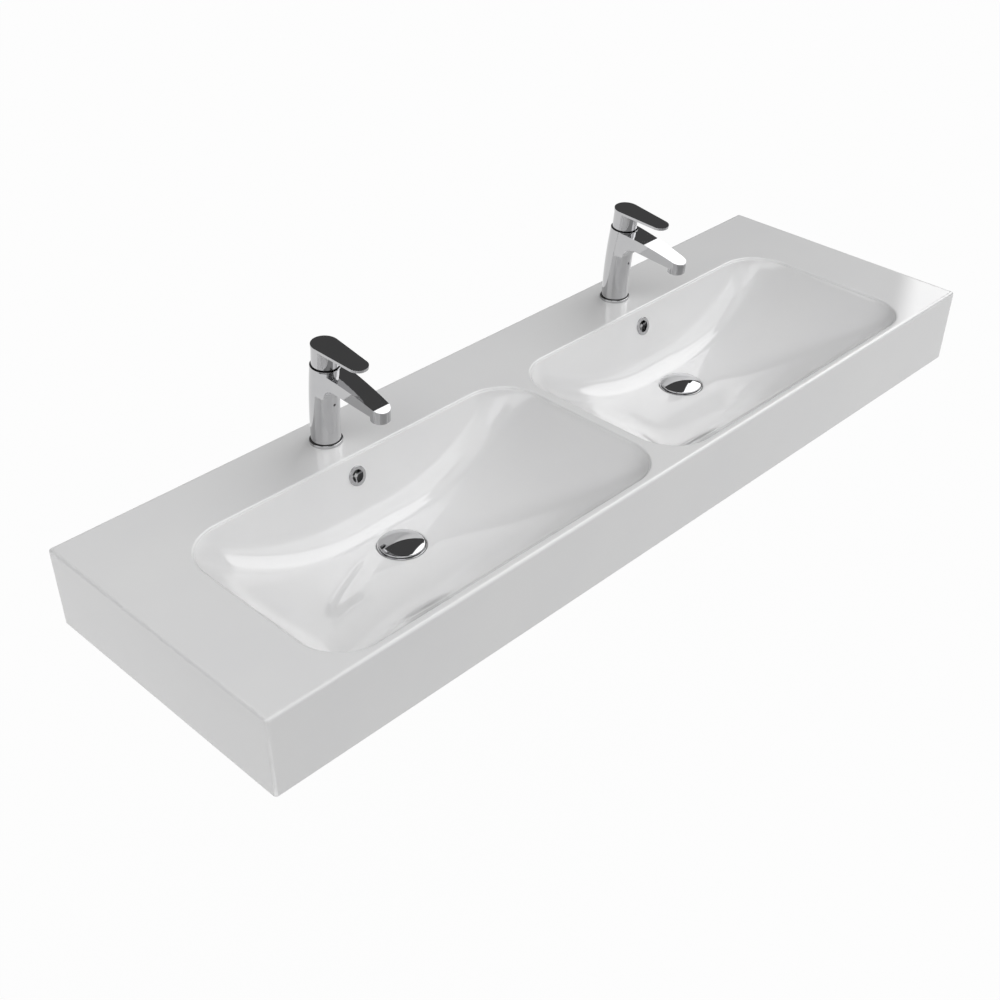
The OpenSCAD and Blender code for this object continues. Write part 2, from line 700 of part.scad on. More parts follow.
// Crescent that clamps the tap from below and leaves the inlets free
module horseshoe(side, z, h, hole_r) {
    open_w = 2 * (inlet_x + inlet_r) + 6;
    at_tap(side) translate([0, 0, z]) difference() {
        cylinder(r = washer_r, h = h);
        translate([-open_w / 2, -stud_s - stud_r - 2 - 2 * washer_r, -over]) cube([open_w, 2 * washer_r, h + 2 * over]);
        translate([0, -stud_s, -over]) cylinder(r = hole_r, h = h + 2 * over);
    }
}

module tap_gaskets() {
    color("black") for (side = [LEFT, RIGHT]) horseshoe(side, -deck_t - gasket_t, gasket_t, stud_r + 0.3);
}

module tap_washers() {
    color("gray") for (side = [LEFT, RIGHT]) horseshoe(side, -deck_t - gasket_t - washer_t, washer_t, stud_r + 0.2);
}

module tap_nuts() {
    color("goldenrod") for (side = [LEFT, RIGHT]) at_tap(side)
        translate([0, -stud_s, -deck_t - gasket_t - washer_t - nut_len]) difference() {
            cylinder(r = stud_r + 2.8, h = nut_len, $fn = 6);
            translate([0, 0, -over]) cylinder(r = stud_r, h = nut_len + 2 * over);
        }
}

module tap_studs() {
    color("gray") for (side = [LEFT, RIGHT]) at_tap(side)
        translate([0, -stud_s, -stud_down]) cylinder(r = stud_r - run_c, h = stud_down + body_z + stud_up);
}

module overflow_ring(side) {
    bore_r = over_hole_d / 2 - 2.2;
    color("silver") at_overflow(side) difference() {
        union() {
            pebble(over_ring_d / 2, 0, 1.8, 0.9);
            translate([0, 0, -12]) cylinder(r = over_hole_d / 2 - seat_c, h = 12 + 0.5);
        }
        translate([0, 0, -12 - over]) cylinder(r = bore_r, h = 20);
    }
}

module overflow_clip(side) {
    r = over_hole_d / 2 - 2.2;
    color("gray") at_overflow(side) intersection() {
        cylinder_between(r - 0.02, -8, -2);
        union() {
            translate([-r, -1, -7]) cube([2 * r, 2, 2.5]);
            translate([-1, -r, -7]) cube([2, r, 2.5]);
            cylinder_between(3, -7, -3);
        }
    }
}

module waste_body(side) {
    color("silver") at_drain(side) difference() {
        union() {
            pebble(flange_d / 2, flange_top - flange_t, flange_t, 0.8);
            cylinder_between(tail_r, -tail_len, flange_top - flange_t + 0.5);
        }
        cylinder_between(seat_r, flange_top - seat_sink, flange_top + over);
        difference() {
            cylinder_between(tail_bore, -tail_len - over, flange_top + over);
            for (a = [0, 90]) rotate([0, 0, a]) translate([-1.5, -tail_r, spider_z - spider_h]) cube([3, 2 * tail_r, spider_h]);
            cylinder_between(spider_r, spider_z - spider_h, spider_z);
        }
        cylinder_between(popup_r + run_c, spider_z - spider_h - over, spider_z + over);
        for (a = [45:90:315]) rotate([0, 0, a])
            translate([tail_bore - 2, -6, -channel_roof - channel_h + 1]) cube([tail_t + 4, 12, channel_h - 2]);
        ring(tail_r + 2, tail_r - 0.8, relief_top() - relief_w, relief_w);
    }
}

// Lower face of the clamping nut, below which the tail is free
function relief_top() = -boss_t - boss_seal_t - waste_nut_h - 0.5;

module flange_seal(side) {
    color("black") at_drain(side) ring(flange_d / 2 - 1, drain_hole_d / 2 + 0.5, -seat_depth, flange_seal_t);
}

module boss_seal(side) {
    color("black") at_drain(side) ring(waste_nut_r - 1, tail_r + seat_c, -boss_t - boss_seal_t, boss_seal_t);
}

module waste_nut(side) {
    color("whitesmoke") at_drain(side) difference() {
        union() {
            cylinder_between(waste_nut_r, -boss_t - boss_seal_t - 3, -boss_t - boss_seal_t);
            cylinder_between(waste_nut_r - 4, -boss_t - boss_seal_t - waste_nut_h, -boss_t - boss_seal_t - 2);
            for (a = [0:45:315]) rotate([0, 0, a])
                translate([waste_nut_r - 5, -2.5, -boss_t - boss_seal_t - waste_nut_h]) cube([4, 5, waste_nut_h - 2]);
        }
        cylinder_between(tail_r + run_c, -boss_t - boss_seal_t - waste_nut_h - over, -boss_t);
    }
}

// Cap: a shallow dome over a flat underside, with a boss for the shaft
module waste_cap(side) {
    cap_r = cap_d / 2;
    dome_r = (cap_r * cap_r + cap_rise * cap_rise) / (2 * cap_rise);
    dome_z = cap_gap + cap_edge + cap_rise - dome_r;
    color("silver") at_drain(side) difference() {
        union() {
            rotate_extrude() polygon(concat([[0, cap_gap], [cap_r - 0.6, cap_gap], [cap_r, cap_gap + 0.6]],
                arc([0, dome_z], dome_r, acos(cap_r / dome_r), 90, 12)));
            cylinder_between(8, cap_gap - 6, cap_gap + 1);
        }
        cylinder_between(shaft_r + seat_c, cap_gap - 6 - over, cap_gap + 1);
    }
}

module cap_seal(side) {
    color("black") at_drain(side) ring(cap_seal_r, cap_seal_in, flange_top - seat_sink, cap_gap - flange_top + seat_sink);
}

module popup_housing(side) {
    color("whitesmoke") at_drain(side) difference() {
        union() {
            cylinder_between(popup_r, popup_top - popup_len, popup_top);
            cylinder_between(spider_r - 0.5, spider_z, spider_z + 2);
        }
        cylinder_between(popup_bore, popup_top - popup_len + 2, popup_top - 2.5);
        cylinder_between(shaft_r + run_c, popup_top - 3, popup_top + over);
    }
}

module popup_shaft(side) {
    color("silver") at_drain(side) {
        cylinder_between(shaft_r, shaft_collar_z - 1, cap_gap + 1);
        cylinder_between(shaft_collar_r, shaft_collar_z - 2, shaft_collar_z);
    }
}

module popup_spring(side) {
    color("gray") at_drain(side) ring(popup_bore - free_c, shaft_r + free_c, popup_top - popup_len + 2, shaft_collar_z - 2 - (popup_top - popup_len + 2));
}

basin();
tap_body(LEFT);  // left_tap_body
tap_body(RIGHT);  // right_tap_body
base_ring(LEFT);  // left_base_ring
base_ring(RIGHT);  // right_base_ring
base_seal(LEFT);  // left_base_seal
base_seal(RIGHT);  // right_base_seal
aerator(LEFT);  // left_aerator
aerator(RIGHT);  // right_aerator
aerator_screen(LEFT);  // left_aerator_screen
aerator_screen(RIGHT);  // right_aerator_screen
index_dot(LEFT);  // left_index_dot
index_dot(RIGHT);  // right_index_dot
cartridge_housing(LEFT);  // left_cartridge_housing
cartridge_housing(RIGHT);  // right_cartridge_housing
port_disc(LEFT);  // left_port_disc
port_disc(RIGHT);  // right_port_disc
control_disc(LEFT);  // left_control_disc
control_disc(RIGHT);  // right_control_disc
cartridge_turret(LEFT);  // left_cartridge_turret
cartridge_turret(RIGHT);  // right_cartridge_turret
lever_stem(LEFT);  // left_lever_stem
lever_stem(RIGHT);  // right_lever_stem
cartridge_nut(LEFT);  // left_cartridge_nut
cartridge_nut(RIGHT);  // right_cartridge_nut
gap_ring(LEFT);  // left_gap_ring
gap_ring(RIGHT);  // right_gap_ring
lever(LEFT);  // left_lever
lever(RIGHT);  // right_lever
lever_screw(LEFT);  // left_lever_screw
lever_screw(RIGHT);  // right_lever_screw
lever_plug(LEFT);  // left_lever_plug
lever_plug(RIGHT);  // right_lever_plug
tap_studs();
tap_gaskets();
tap_washers();
tap_nuts();
overflow_ring(LEFT);  // left_overflow_ring
overflow_ring(RIGHT);  // right_overflow_ring
overflow_clip(LEFT);  // left_overflow_clip
overflow_clip(RIGHT);  // right_overflow_clip
waste_body(LEFT);  // left_waste_body
waste_body(RIGHT);  // right_waste_body
flange_seal(LEFT);  // left_flange_seal
flange_seal(RIGHT);  // right_flange_seal
boss_seal(LEFT);  // left_boss_seal
boss_seal(RIGHT);  // right_boss_seal
waste_nut(LEFT);  // left_waste_nut
waste_nut(RIGHT);  // right_waste_nut
waste_cap(LEFT);  // left_waste_cap
waste_cap(RIGHT);  // right_waste_cap
cap_seal(LEFT);  // left_cap_seal
cap_seal(RIGHT);  // right_cap_seal
popup_housing(LEFT);  // left_popup_housing
popup_housing(RIGHT);  // right_popup_housing
popup_shaft(LEFT);  // left_popup_shaft
popup_shaft(RIGHT);  // right_popup_shaft
popup_spring(LEFT);  // left_popup_spring
popup_spring(RIGHT);  // right_popup_spring
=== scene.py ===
"""Double washbasin with two mixer taps: the looks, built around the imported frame."""

import json
import math

import bmesh
import bpy
from mathutils import Matrix, Vector


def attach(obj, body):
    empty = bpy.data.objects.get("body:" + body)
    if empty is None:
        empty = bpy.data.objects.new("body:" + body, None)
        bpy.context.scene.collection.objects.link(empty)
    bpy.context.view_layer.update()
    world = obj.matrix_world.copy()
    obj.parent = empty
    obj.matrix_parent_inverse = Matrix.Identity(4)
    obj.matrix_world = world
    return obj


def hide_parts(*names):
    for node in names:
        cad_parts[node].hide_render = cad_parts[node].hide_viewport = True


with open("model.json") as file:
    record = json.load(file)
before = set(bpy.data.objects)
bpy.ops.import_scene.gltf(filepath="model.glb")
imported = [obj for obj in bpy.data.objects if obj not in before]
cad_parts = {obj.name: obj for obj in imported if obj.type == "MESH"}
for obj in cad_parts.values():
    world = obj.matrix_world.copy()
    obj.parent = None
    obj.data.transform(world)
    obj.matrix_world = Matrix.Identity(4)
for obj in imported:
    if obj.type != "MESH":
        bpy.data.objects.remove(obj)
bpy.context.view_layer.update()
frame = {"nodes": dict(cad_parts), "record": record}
SIDES = {"left": -1, "right": 1}
TAU = 2 * math.pi

# Sizes in metres, as the frame has them
BASIN_W, BASIN_D, BASIN_H = 1.5, 0.46, 0.125
DECK_Z, FOOT_Z = 0.05, -0.075
SHELL = 0.012
BOWL_W, BOWL_D, BOWL_DEPTH = 0.625, 0.332, 0.107
BOWL_GAP, FRONT_STRIP, DRAIN_BACK = 0.0175, 0.014, 0.1
BOWL_X = (BOWL_W + BOWL_GAP) / 2
RIM_FRONT_Y = FRONT_STRIP - BASIN_D
RIM_BACK_Y = RIM_FRONT_Y + BOWL_D
RIM_MID_Y = (RIM_FRONT_Y + RIM_BACK_Y) / 2
RIM_CORNER, RIM_ROUND = 0.07, 0.003
DRAIN_Y = RIM_BACK_Y - DRAIN_BACK
FLOOR_Z = DECK_Z - BOWL_DEPTH
WALL_LEAN = math.radians(16)
WALL_FALL = 1 / math.tan(WALL_LEAN)
FRONT_LEAN = math.radians(40)
FRONT_FALL = 1 / math.tan(FRONT_LEAN)
SIDE_LIP, FRONT_LIP = 0.008, 0.006
FLAT_R = 0.04
FRONT_R, FRONT_SHARE = 0.12, 0.9
VALLEY_R, VALLEY_SHARE = 0.034, 0.8
SWEEP_RUN = BOWL_W / 2 - FLAT_R
SWEEP_RISE = BOWL_DEPTH - SIDE_LIP
SWEEP_R = (SWEEP_RUN**2 + SWEEP_RISE**2) / (2 * SWEEP_RISE)
BOSS_T, BOSS_R, DRAIN_HOLE_R = 0.03, 0.044, 0.023
OVER_DOWN, CHANNEL_W, CHANNEL_H, CHANNEL_ROOF, DUCT_WALL = 0.031, 0.03, 0.01, 0.009, 0.009
FIX_X, FIX_R, FIX_BOSS_R, FIX_BOSS_DEEP = 0.14, 0.007, 0.02, 0.02
TAP_HOLE_R = 0.0175
TAP_Y = -0.057
# The outer edges' rounding, and the area in square metres over which a face is a flat side
EDGE_ROUND, EDGE_STEPS, FLAT_INSET, SIDE_AREA = 0.0045, 6, 0.002, 0.02
# Steps along the rim's corners, ends, back and front, and closer ones on both sides of the overflow
CORNER_STEPS, END_STEPS, BACK_STEPS, FRONT_STEPS = 20, 16, 20, 36
OVER_HALF, OVER_STEPS = 0.018, 14
# The rim's rounding, and the rings that carry a bowl down to its waste, crowded near the rim
RIM_START, RIM_STEPS = 0.0015, 6
BOWL_RINGS, RING_CROWDING = 60, 1.7
# The step that the waste's flange sits in, as radii and depths, and how deep the skin goes in the waste hole
SEAT_DEPTH, SKIN_DEPTH = 0.003, 0.006
FLANGE_SEAT = ((0.0384, 0), (0.0378, 0.0002), (0.0373, 0.0008), (0.0372, SEAT_DEPTH))
# Overflow hole: where faces are cut away, its radius, and how near the edge's vertices lie
OVER_CUT_R, OVER_HOLE_R, OVER_NEAR = 0.0122, 0.0123, 0.02
# Where the bosses under the waste and behind the back wall start, and how far their bores differ from the holes
BOSS_TOP, BOSS_FIT = -0.0075, 0.0002
FIX_START, FIX_FIT = 0.006, 0.0001
# The overflow channel behind the rim: its back and front, its chamfer and its top above the overflow. Then its
# outer bend's two heights over the underside and its run, and its inner bend's height, inset and run
DUCT_BACK, DUCT_FRONT, DUCT_CHAMFER, DUCT_OVER = 0.016, 0.002, 0.006, 0.014
DUCT_OUTER, DUCT_INNER = (0.034, 0.026, 0.044), (0.042, 0.004, 0.05)
# The tap's base ring and seal, and the waste's cap
BASE_IN_R, BASE_R, BASE_H = 0.016, 0.025, 0.0045
SEAL_IN_R, SEAL_R, SEAL_TOP = 0.0175, 0.023, 0.006
CAP_R, CAP_RISE, CAP_TOP, CAP_FOOT, CAP_CHAMFER, CAP_STEPS = 0.034, 0.0045, 0.0077, 0.001, 0.0006, 16
# The floor under the object, its half width and how far it glows for the eye
GROUND_Z, GROUND_HALF, GROUND_GLOW = -0.82, 9, 0.97
# The part of a noise's range that carries a tone or a roughness from its low to its high value
NOISE_LOW, NOISE_HIGH = 0.3, 0.7


# Making meshes

def finish_mesh(name, bm, material, body, stands_for=(), smooth=True, repair=True):
    """Turns a bmesh into a piece that rides on a body."""
    if repair:
        bmesh.ops.remove_doubles(bm, verts=bm.verts, dist=1e-6)
        bmesh.ops.recalc_face_normals(bm, faces=bm.faces)
    if smooth:
        for face in bm.faces:
            face.smooth = True
    mesh = bpy.data.meshes.new(name)
    bm.to_mesh(mesh)
    bm.free()
    piece = bpy.data.objects.new(name, mesh)
    bpy.context.scene.collection.objects.link(piece)
    piece.data.materials.append(material)
    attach(piece, body)
    if stands_for:
        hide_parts(*stands_for)
    return piece


def sharpen(piece, degrees):
    """Keeps edges steeper than this crisp in the shading."""
    piece.data.set_sharp_from_angle(angle=math.radians(degrees))


def loop_edges(bm, loop):
    return [bm.edges.get((a, b)) or bm.edges.new((a, b)) for a, b in zip(loop, loop[1:] + loop[:1])]


def extrude_loop(bm, loop, places):
    """Extrudes a closed loop of vertices once and puts the new loop at these places."""
    made = bmesh.ops.extrude_edge_only(bm, edges=loop_edges(bm, loop))["geom"]
    fresh = {v for v in made if isinstance(v, bmesh.types.BMVert)}
    new = [next(e.other_vert(v) for e in v.link_edges if e.other_vert(v) in fresh) for v in loop]
    for vert, place in zip(new, places):
        vert.co = place
    return new


def profile_face(bm, corners):
    """Closed outline in the XZ plane from (radius, height, rounding) corners, with its corners rounded."""
    verts = [bm.verts.new((r, 0, z)) for r, z, _ in corners]
    face = bm.faces.new(verts)
    for rounding in sorted({c[2] for c in corners if c[2] > 0}):
        chosen = [v for v, c in zip(verts, corners) if c[2] == rounding]
        bmesh.ops.bevel(bm, geom=chosen, offset=rounding, offset_type="OFFSET", segments=5, profile=0.5,
                        affect="VERTICES", material=-1, clamp_overlap=True)
    return face


def turned(corners, place, steps=96):
    """Ring or disc turned about Z from an outline, then put in its place."""
    bm = bmesh.new()
    profile_face(bm, corners)
    bmesh.ops.delete(bm, geom=bm.faces[:], context="FACES_ONLY")
    on_axis = [e for e in bm.edges if all(abs(v.co.x) < 1e-9 for v in e.verts)]
    bmesh.ops.delete(bm, geom=on_axis, context="EDGES")
    bmesh.ops.spin(bm, geom=bm.verts[:] + bm.edges[:], cent=(0, 0, 0), axis=(0, 0, 1), dvec=(0, 0, 0),
                   angle=TAU, steps=steps, use_merge=True, use_normal_flip=False, use_duplicate=False)
    bmesh.ops.remove_doubles(bm, verts=bm.verts, dist=1e-6)
    bmesh.ops.transform(bm, matrix=place, verts=bm.verts)
    return bm


def overflow_place(side):
    """On the bowl's back wall, with Z out of the wall."""
    y = RIM_BACK_Y - OVER_DOWN / WALL_FALL
    turn = Matrix.Rotation(math.pi / 2 - WALL_LEAN, 4, "X")
    return Matrix.Translation((side * BOWL_X, y, DECK_Z - OVER_DOWN)) @ turn


def drain_place(side):
    return Matrix.Translation((side * BOWL_X, DRAIN_Y, FLOOR_Z))


# Materials

def new_material(name, **values):
    material = bpy.data.materials.new(name)
    material.use_nodes = True
    shader = material.node_tree.nodes["Principled BSDF"]
    for socket, value in values.items():
        shader.inputs[socket.replace("_", " ")].default_value = value
    return material, material.node_tree, shader


def link(tree, source, output, target, socket):
    tree.links.new(source.outputs[output], target.inputs[socket])


def noise(tree, scale, detail=3.0, roughness=0.5):
    coords = tree.nodes.new("ShaderNodeTexCoord")
    texture = tree.nodes.new("ShaderNodeTexNoise")
    texture.inputs["Scale"].default_value = scale
    texture.inputs["Detail"].default_value = detail
    texture.inputs["Roughness"].default_value = roughness
    link(tree, coords, "Object", texture, "Vector")
    return texture


def vary(tree, source, shader, socket, low, high):
    """Lets a texture move a value between two limits."""
    spread = tree.nodes.new("ShaderNodeMapRange")
    spread.inputs["From Min"].default_value = NOISE_LOW
    spread.inputs["From Max"].default_value = NOISE_HIGH
    spread.inputs["To Min"].default_value = low
    spread.inputs["To Max"].default_value = high
    link(tree, source, "Fac", spread, "Value")
    link(tree, spread, "Result", shader, socket)


def tint(tree, source, shader, low, high):
    """Lets a texture move the base colour between two tones."""
    ramp = tree.nodes.new("ShaderNodeValToRGB")
    ramp.color_ramp.elements[0].position = NOISE_LOW
    ramp.color_ramp.elements[0].color = (*low, 1)
    ramp.color_ramp.elements[1].position = NOISE_HIGH
    ramp.color_ramp.elements[1].color = (*high, 1)
    link(tree, source, "Fac", ramp, "Fac")
    link(tree, ramp, "Color", shader, "Base Color")


def bump(tree, source, shader, strength, distance):
    node = tree.nodes.new("ShaderNodeBump")
    node.inputs["Strength"].default_value = strength
    node.inputs["Distance"].default_value = distance
    link(tree, source, "Fac", node, "Height")
    link(tree, node, "Normal", shader, "Normal")


def white_glaze():
    material, tree, shader = new_material("white_glaze", Roughness=0.3, IOR=1.5, Specular_IOR_Level=0.2,
                                          Coat_Weight=1.0, Coat_Roughness=0.008, Coat_IOR=1.6)
    tint(tree, noise(tree, 7.0, 2.0), shader, (0.81, 0.81, 0.815), (0.83, 0.83, 0.83))
    bump(tree, noise(tree, 60.0, 1.0), shader, 0.03, 0.0002)
    return material


def polished_chrome():
    material, tree, shader = new_material("polished_chrome", Metallic=1.0, Specular_IOR_Level=0.5)
    tint(tree, noise(tree, 40.0, 2.0), shader, (0.495, 0.495, 0.505), (0.515, 0.515, 0.52))
    vary(tree, noise(tree, 260.0, 4.0), shader, "Roughness", 0.02, 0.05)
    return material


def plain_steel():
    material, tree, shader = new_material("plain_steel", Metallic=1.0)
    tint(tree, noise(tree, 120.0, 4.0), shader, (0.50, 0.50, 0.51), (0.62, 0.62, 0.62))
    vary(tree, noise(tree, 400.0, 3.0), shader, "Roughness", 0.22, 0.4)
    return material


def turned_brass():
    material, tree, shader = new_material("turned_brass", Metallic=1.0)
    tint(tree, noise(tree, 90.0, 3.0), shader, (0.68, 0.48, 0.20), (0.80, 0.60, 0.28))
    vary(tree, noise(tree, 500.0, 2.0), shader, "Roughness", 0.18, 0.34)
    return material


def moulded(name, low, high, rough, grain, depth):
    material, tree, shader = new_material(name, IOR=1.5)
    tint(tree, noise(tree, 80.0, 3.0), shader, low, high)
    texture = noise(tree, grain, 4.0)
    vary(tree, texture, shader, "Roughness", rough * 0.85, min(1.0, rough * 1.2))
    bump(tree, texture, shader, 0.3, depth)
    return material


GLAZE = white_glaze()
CHROME = polished_chrome()
STEEL = plain_steel()
BRASS = turned_brass()
RUBBER = moulded("seal_rubber", (0.010, 0.010, 0.010), (0.022, 0.022, 0.022), 0.7, 900.0, 0.00004)
BLACK = moulded("black_plastic", (0.006, 0.006, 0.006), (0.014, 0.014, 0.014), 0.45, 700.0, 0.00003)
DARK = moulded("dark_plastic", (0.05, 0.05, 0.055), (0.08, 0.08, 0.085), 0.4, 700.0, 0.00003)
GREY = moulded("grey_plastic", (0.42, 0.43, 0.45), (0.50, 0.51, 0.53), 0.38, 600.0, 0.00003)
WHITE = moulded("white_plastic", (0.74, 0.74, 0.74), (0.80, 0.80, 0.80), 0.28, 500.0, 0.00003)
LAPPED = moulded("lapped_ceramic", (0.70, 0.69, 0.65), (0.78, 0.77, 0.73), 0.22, 800.0, 0.00001)
FINISH = {"white_glaze": GLAZE, "chrome_polished": CHROME, "steel": STEEL, "brass": BRASS, "black_rubber": RUBBER,
          "black_plastic": BLACK, "dark_plastic": DARK, "grey_plastic": GREY, "white_plastic": WHITE,
          "technical_ceramic": LAPPED}
for part in frame["record"]["subparts"]:
    node = frame["nodes"][part["node"]]
    node.data.materials.clear()
    node.data.materials.append(FINISH[part["material_slot"]])


# The bowls: a steep wall inside the rim, a long sweep along X and a wall in front, with fillets in the valleys

def fillet(floor, wall, radius, wall_lean):
    """Height where a floor meets a wall that leans back this far, with an arc of this radius in the valley."""
    lean = math.sin(wall_lean)
    a, b = radius + floor, radius + lean * wall
    spread = 1 + lean * lean
    root = (a + lean * b) ** 2 - spread * (a * a + b * b - radius * radius)
    if root <= 0:
        return max(floor, wall)
    height = (a + lean * b - math.sqrt(root)) / spread
    meets_both = height < a and lean * height < b
    return max(height, floor, wall) if meets_both else max(floor, wall)


def bowl_height(x, y, inside):
    """Height below the deck at x, y from the bowl's middle line, this far inside the rim."""
    run = min(max(abs(x) - FLAT_R, 0), SWEEP_RUN)
    sweep = SWEEP_R - math.sqrt(SWEEP_R**2 - run**2) - BOWL_DEPTH
    front = -FRONT_LIP - FRONT_FALL * max(y - RIM_FRONT_Y, 0)
    hollow = fillet(sweep, front, min(FRONT_R, FRONT_SHARE * -sweep), FRONT_LEAN)
    return fillet(hollow, -WALL_FALL * max(inside, 0), min(VALLEY_R, VALLEY_SHARE * -hollow), WALL_LEAN)


def inside_rim(x, y):
    qx = abs(x) - (BOWL_W / 2 - RIM_CORNER)
    qy = abs(y) - (BOWL_D / 2 - RIM_CORNER)
    return RIM_CORNER - math.hypot(qx, qy) if qx > 0 and qy > 0 else RIM_CORNER - max(qx, qy)


def steps_along(half, coarse, fine_half=0.0, fine=0):
    """Places from -half to half without its ends, closer together over the middle stretch."""
    if not fine:
        return [-half + 2 * half * i / coarse for i in range(1, coarse)]
    wing = [-half + (half - fine_half) * i / coarse for i in range(1, coarse)]
    middle = [-fine_half + 2 * fine_half * i / fine for i in range(fine + 1)]
    return wing + middle + [-x for x in reversed(wing)]


def rim_outline(grow):
    """Rounded rectangle about the bowl's middle, grown by this much, as points that run anticlockwise."""
    hx, hy, r = BOWL_W / 2 + grow, BOWL_D / 2 + grow, RIM_CORNER + grow
    sx, sy = hx - r, hy - r
    arc = [math.radians(90 * i / CORNER_STEPS) for i in range(CORNER_STEPS + 1)]
    points = [(hx, y) for y in steps_along(sy, END_STEPS)]
    points += [(sx + r * math.cos(a), sy + r * math.sin(a)) for a in arc]
    points += [(-x, hy) for x in steps_along(sx, BACK_STEPS, OVER_HALF, OVER_STEPS)]
    points += [(-sx - r * math.sin(a), sy + r * math.cos(a)) for a in arc]
    points += [(-hx, -y) for y in steps_along(sy, END_STEPS)]
    points += [(-sx - r * math.cos(a), -sy - r * math.sin(a)) for a in arc]
    points += [(x, -hy) for x in steps_along(sx, FRONT_STEPS)]
    points += [(sx + r * math.sin(a), -sy - r * math.cos(a)) for a in arc]
    return points


def drain_circle(base, radius):
    """The rim's points drawn in to a circle about the waste, as seen from the bowl's middle."""
    dy = DRAIN_Y - RIM_MID_Y
    ring = []
    for x, y in base:
        way = Vector((x, y - dy)).normalized() * radius
        ring.append((way.x, way.y + dy))
    return ring


def sink_bowl(bm, side):
    """Extrudes a bowl ring by ring, from the deck down to the edge of the waste hole."""
    middle = Vector((side * BOWL_X, RIM_MID_Y, DECK_Z))

    def put(ring, heights):
        return [middle + Vector((x, y, z)) for (x, y), z in zip(ring, heights)]

    base = rim_outline(0)
    flat = drain_circle(base, FLAT_R)
    first = rim_outline(RIM_ROUND + RIM_START)
    start = [bm.verts.new(p) for p in put(first, [0] * len(first))]
    loop_edges(bm, start)
    loop = extrude_loop(bm, start, put(rim_outline(RIM_ROUND), [0] * len(base)))
    for i in range(1, RIM_STEPS + 1):
        a = math.pi / (2 * RIM_STEPS) * i
        ring = rim_outline(RIM_ROUND * (1 - math.sin(a)))
        loop = extrude_loop(bm, loop, put(ring, [-RIM_ROUND * (1 - math.cos(a))] * len(base)))
    for i in range(1, BOWL_RINGS + 1):
        share = (i / BOWL_RINGS) ** RING_CROWDING
        ring = [(x + (fx - x) * share, y + (fy - y) * share) for (x, y), (fx, fy) in zip(base, flat)]
        heights = [min(bowl_height(x, y + RIM_MID_Y, inside_rim(x, y)), -RIM_ROUND) for x, y in ring]
        if i == BOWL_RINGS:
            heights = [-BOWL_DEPTH] * len(base)
        loop = extrude_loop(bm, loop, put(ring, heights))
    for radius, depth in (*FLANGE_SEAT, (DRAIN_HOLE_R, SEAT_DEPTH), (DRAIN_HOLE_R, SKIN_DEPTH)):
        loop = extrude_loop(bm, loop, put(drain_circle(base, radius), [-BOWL_DEPTH - depth] * len(base)))
    open_overflow(bm, side)
    return start


def open_overflow(bm, side):
    """Opens the round hole behind the overflow ring in the bowl's back wall."""
    place = overflow_place(side)
    back = place.inverted()
    near = [f for f in bm.faces if (back @ f.calc_center_median()).length < OVER_CUT_R]
    bmesh.ops.delete(bm, geom=near, context="FACES")
    for vert in bm.verts:
        local = back @ vert.co
        if local.length < OVER_NEAR and any(e.is_boundary for e in vert.link_edges):
            flat = Vector((local.x, local.y, 0)).normalized() * OVER_HOLE_R
            vert.co = place @ Vector((flat.x, flat.y, local.z))


def circle_loop(bm, centre, radius, turn, count=48):
    """Loose circle of edges, to be left open when a flat face is filled round it."""
    made = bmesh.ops.create_circle(bm, cap_ends=False, radius=radius, segments=count,
                                   matrix=Matrix.Translation(centre) @ turn)["verts"]
    return list({e for v in made for e in v.link_edges})


def fill_flat(bm, face, openings, normal):
    """Replaces a flat face by triangles that leave these loops open, shaded flat."""
    border = list(face.edges)
    bmesh.ops.delete(bm, geom=[face], context="FACES_ONLY")
    filled = bmesh.ops.triangle_fill(bm, use_beauty=True, use_dissolve=False, edges=border + openings, normal=normal)
    faces = [f for f in filled["geom"] if isinstance(f, bmesh.types.BMFace)]
    for f in faces:
        f.normal_update()
        if f.normal.dot(normal) < 0:
            f.normal_flip()
        f.smooth = False
    return faces


